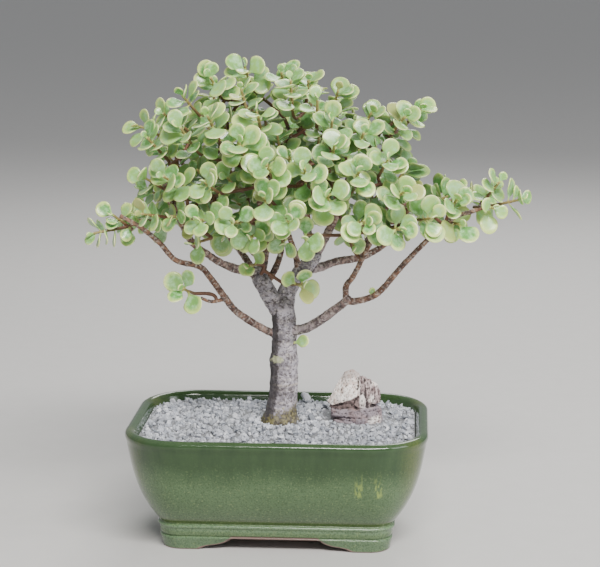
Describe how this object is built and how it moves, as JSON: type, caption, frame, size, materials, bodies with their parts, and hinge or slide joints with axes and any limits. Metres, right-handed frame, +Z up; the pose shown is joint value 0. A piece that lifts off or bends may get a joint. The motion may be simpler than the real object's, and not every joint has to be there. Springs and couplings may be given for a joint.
{
  "type": "variegated elephant bush bonsai",
  "caption": "Small variegated succulent tree with a forked trunk and a domed crown of round leaves, rooted in gravel beside an accent stone in a footed, glazed rectangular pot.",
  "frame": {"origin": "centre of the whole object's box, on the surface that its feet stand on", "axes": "+Z up, +Y away from the front of the pot, +X to the right seen from the front"},
  "size_m": [0.2923, 0.1929, 0.3269],
  "materials": {
    "green_glaze": "gloss",
    "drain_net": "matte",
    "potting_soil": "matte",
    "pumice_gravel": "matte",
    "accent_stone": "matte",
    "bark": "matte",
    "variegated_leaf": "satin"
  },
  "bodies": {
    "root": {"accent_stone": "accent_stone", "drain_screen_left": "drain_net", "drain_screen_right": "drain_net", "gravel": "pumice_gravel", "pot": "green_glaze", "soil": "potting_soil", "spray_01": "variegated_leaf", "spray_02": "variegated_leaf", "spray_03": "variegated_leaf", "spray_04": "variegated_leaf", "spray_05": "variegated_leaf", "spray_06": "variegated_leaf", "spray_07": "variegated_leaf", "spray_08": "variegated_leaf", "spray_09": "variegated_leaf", "spray_10": "variegated_leaf", "spray_11": "variegated_leaf", "spray_12": "variegated_leaf", "spray_13": "variegated_leaf", "spray_14": "variegated_leaf", "spray_15": "variegated_leaf", "spray_16": "variegated_leaf", "spray_17": "variegated_leaf", "spray_18": "variegated_leaf", "spray_19": "variegated_leaf", "spray_20": "variegated_leaf", "spray_21": "variegated_leaf", "spray_22": "variegated_leaf", "spray_23": "variegated_leaf", "spray_24": "variegated_leaf", "spray_25": "variegated_leaf", "spray_26": "variegated_leaf", "spray_27": "variegated_leaf", "spray_28": "variegated_leaf", "spray_29": "variegated_leaf", "spray_30": "variegated_leaf", "spray_31": "variegated_leaf", "spray_32": "variegated_leaf", "spray_33": "variegated_leaf", "spray_34": "variegated_leaf", "spray_35": "variegated_leaf", "spray_36": "variegated_leaf", "spray_37": "variegated_leaf", "spray_38": "variegated_leaf", "spray_39": "variegated_leaf", "spray_40": "variegated_leaf", "trunk_and_limbs": "bark"}
  },
  "joints": []
}
